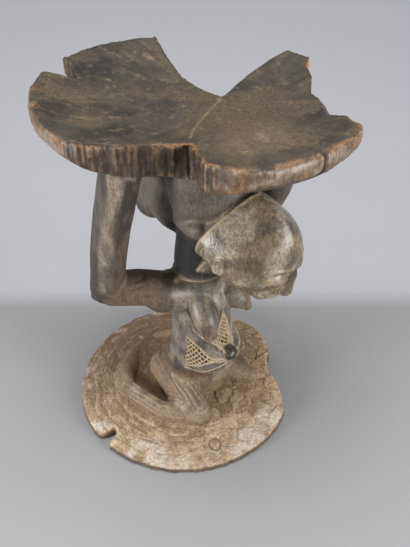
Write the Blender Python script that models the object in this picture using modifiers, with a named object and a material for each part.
"""Caryatid stool carved from one log.

A kneeling female figure on a round base carries a dished round seat on her hands and on
the lobes of her head-dress. The wood is old: the seat has lost pieces of its rim along the
vertical grain, and the base has lost some of its edge.

Metres, +Z up. The origin is the middle of the base's underside, and the figure faces -Y,
so her right side is -X.
"""

from math import cos, radians, sin

import bmesh
import bpy
from mathutils import Euler, Matrix, Vector

# Whole object
CLEAN_UP = 0.0001

# Base
BASE_RADIUS = 0.1285
BASE_RIM = 0.0135
BASE_DOME = 0.0165
BASE_SLOPE = 0.0065
BASE_BACK = Vector((0.72, 0.69))

# Seat
SEAT_RADIUS = 0.1555
SEAT_CENTRE = Vector((0.016, -0.012, 0.403))
SEAT_TILT = Euler((radians(-0.3), radians(4.2), 0.0))
SEAT_DISH = 0.028
SEAT_RIM = 0.017
SEAT_MIDDLE = 0.036

# Breaks of the seat: the lowest height they cut, and the lean of the two that run on below it
BREAK_LOW = 0.300
LEAN_LOW = 0.335
LEAN_TOP = 0.370
HAIR_LEAN = (0.50, 0.40)
HAND_LEAN = (0.0, 0.10)

# Figure
SHOULDER_HEIGHT = 0.196
NECK_RADIUS = 0.027
ARM_RADIUS = 0.0195
HAND_HEIGHT = 0.364
HEAD_CENTRE = Vector((0.006, -0.088, 0.273))
HEAD_TILT = radians(26)
HEAD_TURN = radians(12)
HEAD_WIDTH = 0.100
HEAD_HEIGHT = 0.116
HEAD_DEPTH = 0.104
HAIR_LINE = 0.019
HAIR_STEP = 0.004
HAIR_SWEEP = 0.016
CROWN_TAPER = 0.62
CROWN_LEAN = 0.004
JAW_TAPER = 0.70
JAW_RISE = 0.87

# Mesh
FIGURE_VOXEL = 0.0022
FIGURE_SHARE = 0.05

WOOD = (0.115, 0.085, 0.058, 1.0)


def clear_scene():
    for obj in list(bpy.data.objects):
        bpy.data.objects.remove(obj, do_unlink=True)


def new_collection(name):
    coll = bpy.data.collections.new(name)
    bpy.context.scene.collection.children.link(coll)
    return coll


def new_object(name, mesh, coll):
    obj = bpy.data.objects.new(name, mesh)
    coll.objects.link(obj)
    return obj


def smooth_path(points, steps=8):
    """Catmull-Rom points through a list of tuples (x, y, z, radius)."""
    ends = [points[0]] + list(points) + [points[-1]]
    path = []
    for i in range(1, len(ends) - 2):
        p0, p1, p2, p3 = ends[i - 1:i + 3]
        for k in range(steps):
            t = k / steps
            path.append(tuple(
                0.5 * (2 * b + (c - a) * t + (2 * a - 5 * b + 4 * c - d) * t ** 2
                       + (3 * b - a - 3 * c + d) * t ** 3)
                for a, b, c, d in zip(p0, p1, p2, p3)))
    path.append(tuple(points[-1]))
    return path


def mesh_of(obj):
    """The evaluated mesh of an object, in world space, and the object removed."""
    bpy.context.view_layer.update()
    graph = bpy.context.evaluated_depsgraph_get()
    mesh = bpy.data.meshes.new_from_object(obj.evaluated_get(graph))
    mesh.transform(obj.matrix_world)
    bpy.data.objects.remove(obj, do_unlink=True)
    return mesh


def weld(mesh):
    bm = bmesh.new()
    bm.from_mesh(mesh)
    bmesh.ops.remove_doubles(bm, verts=bm.verts, dist=CLEAN_UP)
    bmesh.ops.recalc_face_normals(bm, faces=bm.faces)
    bm.to_mesh(mesh)
    bm.free()
    return mesh


def ball(centre, radii, turn=(0, 0, 0), frame=None):
    """An ellipsoid, turned in degrees, optionally placed in another frame."""
    bm = bmesh.new()
    bmesh.ops.create_uvsphere(bm, u_segments=40, v_segments=24, radius=1.0)
    place = (Matrix.Translation(centre) @ Euler([radians(a) for a in turn]).to_matrix().to_4x4()
             @ Matrix.Diagonal((*radii, 1.0)))
    if frame is not None:
        place = frame @ place
    bm.transform(place)
    mesh = bpy.data.meshes.new("ball")
    bm.to_mesh(mesh)
    bm.free()
    return mesh


def limb(points, frame=None):
    """A tube with round ends through points (x, y, z, radius)."""
    path = smooth_path(points)
    curve = bpy.data.curves.new("limb", "CURVE")
    curve.dimensions = "3D"
    curve.bevel_depth = 1.0
    curve.bevel_resolution = 5
    curve.use_fill_caps = True
    spline = curve.splines.new("POLY")
    spline.points.add(len(path) - 1)
    for point, (x, y, z, radius) in zip(spline.points, path):
        point.co = (x, y, z, 1.0)
        point.radius = radius
    obj = bpy.data.objects.new("limb", curve)
    bpy.context.scene.collection.objects.link(obj)
    tube = weld(mesh_of(obj))
    if frame is not None:
        tube.transform(frame)
    ends = [ball(p[:3], (p[3],) * 3, frame=frame) for p in (points[0], points[-1])]
    return [tube] + ends


def turned(name, profile, coll, steps=72):
    """A profile of (radius, height) points, from the top round to the bottom, on the Z axis."""
    mesh = bpy.data.meshes.new(name)
    mesh.from_pydata([(r, 0.0, z) for r, z in profile], [(i, i + 1) for i in range(len(profile) - 1)], [])
    obj = new_object(name, mesh, coll)
    screw = obj.modifiers.new("turn", "SCREW")
    screw.steps = steps
    screw.render_steps = steps
    screw.use_merge_vertices = True
    screw.merge_threshold = CLEAN_UP
    return obj


def block(name, outline, low, high, coll):
    """An outline of (x, y) points, extruded from low to high."""
    curve = bpy.data.curves.new(name, "CURVE")
    curve.dimensions = "2D"
    curve.fill_mode = "BOTH"
    curve.extrude = (high - low) / 2
    spline = curve.splines.new("POLY")
    spline.points.add(len(outline) - 1)
    spline.use_cyclic_u = True
    for point, (x, y) in zip(spline.points, outline):
        point.co = (x, y, 0.0, 1.0)
    obj = new_object(name, curve, coll)
    obj.location = (0.0, 0.0, (high + low) / 2)
    cutter = new_object(name, weld(mesh_of(obj)), coll)
    cutter.display_type = "WIRE"
    cutter.hide_render = True
    return cutter


def joined(name, meshes, coll):
    """One object holding all the meshes of a list."""
    bm = bmesh.new()
    for mesh in meshes:
        bm.from_mesh(mesh)
        bpy.data.meshes.remove(mesh)
    mesh = bpy.data.meshes.new(name)
    bm.to_mesh(mesh)
    bm.free()
    return new_object(name, mesh, coll)


def boolean(obj, other, operation):
    cut = obj.modifiers.new(operation.lower(), "BOOLEAN")
    cut.operation = operation
    cut.solver = "EXACT"
    cut.object = other


def break_cutter(name, edge, low, centre, radius, coll):
    """A block that removes what is outside a broken edge of a round disc, above the height low."""
    middle = Vector((centre[0], centre[1]))
    outer = []
    for end in (edge[-1], edge[0]):
        away = (Vector(end) - middle).normalized() * radius * 1.35
        outer.append(tuple(middle + away))
    return block(name, edge + outer, low, low + 0.16, coll)


def seat_breaks(coll):
    """The places where the seat has split away along the vertical grain.

    The first list cuts the seat. The second cuts what stands below the same breaks: the hair
    beside the crack, and the top of the right hand, where the break leans outwards.
    """
    right = [(0.0715, -0.158), (0.078, -0.141), (0.087, -0.129), (0.085, -0.111),
             (0.098, -0.097), (0.111, -0.078), (0.116, -0.065), (0.141, -0.048),
             (0.153, -0.031), (0.1705, -0.023)]
    back = [(0.1705, 0.005), (0.144, 0.011), (0.110, 0.012), (0.082, 0.007), (0.062, 0.002),
            (0.0585, 0.029), (0.060, 0.055), (0.073, 0.090), (0.085, 0.118), (0.089, 0.126)]
    notch = [(-0.027, 0.138), (-0.033, 0.117), (-0.041, 0.098), (-0.048, 0.107),
             (-0.058, 0.114), (-0.071, 0.121)]
    hand_side = [(-0.140, -0.014), (-0.126, -0.030), (-0.107, -0.033), (-0.090, -0.037),
                 (-0.076, -0.040), (-0.074, -0.126)]
    crack_side = [(-0.077, -0.040), (-0.064, -0.044), (-0.040, -0.056), (-0.052, -0.074),
                  (-0.074, -0.105), (-0.072, -0.126), (-0.068, -0.146)]
    edges = {"right_break": right, "back_break": back, "rim_notch": notch,
             "hand_side_break": hand_side, "crack_side_break": crack_side}
    place = (SEAT_CENTRE, SEAT_RADIUS, coll)
    through = [break_cutter(name, edge, BREAK_LOW, *place) for name, edge in edges.items()]
    leaning = [break_cutter("above_hair_break", crack_side, LEAN_LOW, *place),
               break_cutter("above_hand_break", hand_side, LEAN_LOW, *place)]
    for cutter, (lean_x, lean_y) in zip(leaning, (HAIR_LEAN, HAND_LEAN)):
        shear = Matrix.Identity(4)
        shear[0][2] = lean_x
        shear[1][2] = lean_y
        shift = Matrix.Translation((-lean_x * LEAN_TOP, -lean_y * LEAN_TOP, 0))
        cutter.data.transform(shift @ shear)
    return through, leaning


def make_seat(coll, breaks):
    """The dished seat: a turned disc, tilted, less the places where it has broken."""
    r = SEAT_RADIUS
    top = [(r * t, -SEAT_DISH * (1 - t ** 2)) for t in (0.0, 0.3, 0.6, 0.8, 0.94)]
    rim = [(r * 0.985, -0.001), (r, -0.004), (r, -SEAT_RIM), (r * 0.97, -SEAT_RIM - 0.006)]
    lowest = -SEAT_DISH - SEAT_MIDDLE
    under = [(r * t, lowest + (-SEAT_RIM - 0.006 - lowest) * t ** 2) for t in (0.75, 0.5, 0.25, 0.0)]
    seat = turned("seat", top + rim + under, coll)
    seat.location = SEAT_CENTRE
    seat.rotation_euler = SEAT_TILT
    for cutter in breaks:
        boolean(seat, cutter, "DIFFERENCE")
    return new_object("seat", mesh_of(seat), coll)


def base_breaks(coll):
    """The broken right edge of the base and the notch at its front left."""
    right = [(0.052, -0.1175), (0.072, -0.088), (0.079, -0.068), (0.095, -0.050),
             (0.108, -0.046), (0.117, -0.032), (0.126, -0.012)]
    notch = [(-0.128, 0.0135), (-0.117, 0.008), (-0.1085, 0.007), (-0.112, -0.001), (-0.1265, -0.003)]
    return [break_cutter(name, edge, -0.01, (0.0, 0.0), BASE_RADIUS, coll)
            for name, edge in (("base_break", right), ("base_notch", notch))]


def base_height(t):
    """Height of the base's top at the share t of its radius."""
    return BASE_RIM + BASE_DOME * max(0.0, 1 - t ** 2) ** 0.8


def make_base(coll, breaks):
    """The round base: a turned disc with a low dome, thicker behind, less its broken places."""
    r = BASE_RADIUS
    dome = [(r * t, base_height(t)) for t in (0.0, 0.3, 0.55, 0.75, 0.88, 0.96)]
    side = [(r, BASE_RIM), (r * 1.01, 0.0), (0.0, 0.0)]
    mesh = mesh_of(turned("base", dome + side, coll))
    for vert in mesh.vertices:
        if vert.co.z > CLEAN_UP:
            vert.co.z += BASE_SLOPE * vert.co.xy.dot(BASE_BACK) / r
    base = new_object("base", mesh, coll)
    for cutter in breaks:
        boolean(base, cutter, "DIFFERENCE")
    return new_object("base", mesh_of(base), coll)


def head_frame():
    return (Matrix.Translation(HEAD_CENTRE) @ Matrix.Rotation(HEAD_TURN, 4, "Z")
            @ Matrix.Rotation(HEAD_TILT, 4, "X"))


def crowned(radii, centre=(0, 0, 0)):
    """An ellipsoid that narrows to its jaw and to its crown, which leans a little to the right."""
    mesh = ball(centre, radii)
    for vert in mesh.vertices:
        height = (vert.co.z - centre[2]) / radii[2]
        if height > 0:
            vert.co.x = vert.co.x * (1 - CROWN_TAPER * height ** 2) - CROWN_LEAN * height ** 2
        else:
            vert.co.x *= 1 - JAW_TAPER * height ** 2
            vert.co.z *= JAW_RISE
    return mesh


def forehead(radii, cut, frame):
    """A crowned ellipsoid, cut off behind at an edge that sweeps back at the sides."""
    mesh = crowned(radii)
    bm = bmesh.new()
    bm.from_mesh(mesh)
    whole = bm.verts[:] + bm.edges[:] + bm.faces[:]
    bmesh.ops.bisect_plane(bm, geom=whole, plane_co=(0, cut, 0), plane_no=(0, 1, 0), clear_outer=True)
    bmesh.ops.holes_fill(bm, edges=[e for e in bm.edges if e.is_boundary])
    bmesh.ops.recalc_face_normals(bm, faces=bm.faces)
    for vert in bm.verts:
        vert.co.y += HAIR_SWEEP * abs(vert.co.x / radii[0]) * max(0.0, vert.co.y / cut)
    bm.transform(frame)
    bm.to_mesh(mesh)
    bm.free()
    return mesh


def head_forms():
    """The head in its own frame: -Y is the face, +Z the crown. The face is a general one."""
    frame = head_frame()
    w, d, h = HEAD_WIDTH / 2, HEAD_DEPTH / 2, HEAD_HEIGHT / 2
    scalp = crowned((w - HAIR_STEP * 1.5, d, h - HAIR_STEP * 1.5), (0, 0.004, -0.002))
    scalp.transform(frame)
    forms = [forehead((w, d, h), HAIR_LINE, frame), scalp,
             ball((0, -d * 0.34, -h * 0.50), (w * 0.50, d * 0.64, h * 0.38), frame=frame)]
    for side in (-1, 1):
        forms += [ball((side * w * 0.40, -d * 0.86, h * 0.05), (0.014, 0.006, 0.007),
                       turn=(0, 0, side * 22), frame=frame)]
        forms += [ball((side * w * 0.93, 0.004, -h * 0.08), (0.005, 0.007, 0.011), frame=frame)]
        forms += [ball((side * 0.006, -d * 1.02, -h * 0.34), (0.005, 0.006, 0.004), frame=frame)]
    forms += limb([(0, -d * 0.95, h * 0.10, 0.004), (0, -d * 1.00, -h * 0.15, 0.005),
                   (0, -d * 1.05, -h * 0.32, 0.006)], frame=frame)
    for height, thickness in ((-0.51, 0.0035), (-0.59, 0.0035)):
        forms += limb([(-0.013, -d * 0.84, h * height, 0.002), (0, -d * 0.94, h * height, thickness),
                       (0.013, -d * 0.84, h * height, 0.002)], frame=frame)
    forms += [ball((0, -d * 0.72, -h * 0.72), (0.013, 0.010, 0.009), frame=frame)]
    return forms


def coiffure_forms():
    """The lobes of the head-dress, which reach up to the seat: two at the sides, one behind."""
    forms = [ball((-0.002, -0.040, 0.318), (0.036, 0.046, 0.046)),
             ball((0, -0.010, 0.330), (0.034, 0.042, 0.036)),
             ball((0, 0.006, 0.272), (0.022, 0.034, 0.028))]
    for side in (-1, 1):
        forms += [ball((side * 0.020, -0.042, 0.324), (0.022, 0.030, 0.040)),
                  ball((side * 0.008, 0.014, 0.302), (0.021, 0.036, 0.046))]
        forms += limb([(side * 0.0325, -0.034, 0.2915, 0.008), (side * 0.028, -0.038, 0.305, 0.017),
                       (side * 0.023, -0.040, 0.322, 0.024), (side * 0.022, -0.042, 0.342, 0.028)])
        forms += limb([(side * 0.030, -0.032, 0.291, 0.009), (side * 0.031, -0.044, 0.289, 0.010),
                       (side * 0.033, -0.058, 0.291, 0.010)])
    forms += limb([(0, 0.041, 0.264, 0.020), (0, 0.044, 0.300, 0.023), (0, 0.046, 0.345, 0.024)])
    return forms


def torso_forms():
    """The long trunk, the full belly with its navel, the breasts, the shoulders and the neck."""
    forms = limb([(0.006, -0.008, 0.044, 0.040), (0.003, -0.020, 0.080, 0.036),
                  (0.002, -0.027, 0.120, 0.034), (0.001, -0.026, 0.165, 0.033)])
    forms += [ball((0.003, -0.037, 0.101), (0.036, 0.036, 0.034)),
              ball((0.001, -0.070, 0.112), (0.008, 0.009, 0.008)),
              ball((0.000, -0.047, 0.070), (0.016, 0.012, 0.017))]
    z = SHOULDER_HEIGHT - 0.003
    forms += limb([(-0.044, -0.014, z, 0.021), (0, -0.020, z - 0.011, 0.028), (0.044, -0.014, z, 0.021)])
    forms += limb([(0, -0.024, 0.175, NECK_RADIUS), (0, -0.027, 0.23, NECK_RADIUS),
                   (0, -0.040, 0.30, NECK_RADIUS)])
    forms += limb([(-0.017, -0.043, 0.180, 0.013), (-0.021, -0.056, 0.165, 0.0135),
                   (-0.0245, -0.065, 0.153, 0.0085)])
    forms += limb([(0.018, -0.042, 0.180, 0.013), (0.026, -0.060, 0.170, 0.013),
                   (0.030, -0.069, 0.162, 0.006)])
    return forms


def arm_forms():
    """Upper arms out to the elbows, forearms up to the seat, and the point of the right elbow."""
    r = ARM_RADIUS
    z = SHOULDER_HEIGHT
    forms = limb([(-0.040, -0.014, z, r), (-0.062, 0.004, z + 0.005, r), (-0.082, 0.019, z + 0.007, r * 0.95)])
    forms += limb([(-0.0865, 0.0250, z + 0.006, r * 0.84), (-0.0870, 0.0210, z + 0.018, r * 0.90),
                   (-0.0910, 0.0040, 0.28, r * 0.95), (-0.0890, -0.0175, HAND_HEIGHT, r),
                   (-0.0880, -0.0155, 0.372, r)])
    forms += limb([(-0.0865, 0.0235, z + 0.012, r * 0.88), (-0.0910, 0.0290, z + 0.003, r * 0.62),
                   (-0.0945, 0.0325, z - 0.003, 0.006)])
    forms += limb([(0.040, -0.014, z, r), (0.074, -0.009, z + 0.004, r), (0.107, -0.004, z + 0.005, r * 0.95)])
    forms += limb([(0.111, -0.002, z + 0.003, r * 0.90), (0.112, -0.006, z + 0.016, r),
                   (0.118, -0.030, 0.27, r), (0.112, -0.037, HAND_HEIGHT - 0.004, r)])
    return forms


def leg_forms():
    """The legs, folded on the base with the feet turned in behind."""
    forms = []
    for side, kx, ky, thickness in ((-1, -0.0345, -0.0595, 0.014), (1, 0.050, -0.061, 0.0105)):
        forms += limb([(side * 0.017, 0.010, 0.044, 0.023), (side * 0.029, -0.026, 0.036, 0.021),
                       (kx, ky, 0.029, thickness)])
        forms += limb([(kx, ky, 0.025, thickness * 0.93), (side * 0.060, -0.022, 0.026, 0.012),
                       (side * 0.064, 0.036, 0.026, 0.010)])
        forms += limb([(side * 0.063, 0.038, 0.026, 0.010), (side * 0.046, 0.053, 0.025, 0.013),
                       (side * 0.022, 0.071, 0.024, 0.008)])
    return forms


def make_figure(coll):
    """All the figure's forms, fused into one skin."""
    forms = leg_forms() + torso_forms() + arm_forms() + head_forms() + coiffure_forms()
    figure = joined("figure", forms, coll)
    skin = figure.modifiers.new("skin", "REMESH")
    skin.mode = "VOXEL"
    skin.voxel_size = FIGURE_VOXEL
    soften = figure.modifiers.new("soften", "SMOOTH")
    soften.factor = 0.5
    soften.iterations = 4
    thin = figure.modifiers.new("thin", "DECIMATE")
    thin.ratio = FIGURE_SHARE
    return new_object("figure", mesh_of(figure), coll)


def wood():
    material = bpy.data.materials.new("old_wood")
    material.use_nodes = True
    shader = material.node_tree.nodes["Principled BSDF"]
    shader.inputs["Base Color"].default_value = WOOD
    shader.inputs["Roughness"].default_value = 0.55
    shader.inputs["Metallic"].default_value = 0.0
    return material


def main():
    clear_scene()
    parts = new_collection("caryatid_stool")
    cutters = new_collection("cutters")
    through_seat, through_figure = seat_breaks(cutters)
    seat = make_seat(parts, through_seat)
    base = make_base(parts, base_breaks(cutters))
    figure = make_figure(parts)
    for cutter in through_figure:
        boolean(figure, cutter, "DIFFERENCE")
    for form in (seat, base):
        boolean(figure, form, "UNION")
    stool = new_object("stool", mesh_of(figure), parts)
    for form in (seat, base):
        bpy.data.objects.remove(form, do_unlink=True)
    stool.data.materials.clear()
    stool.data.materials.append(wood())
    stool.data.shade_smooth()
    stool.data.set_sharp_from_angle(angle=radians(40))


main()
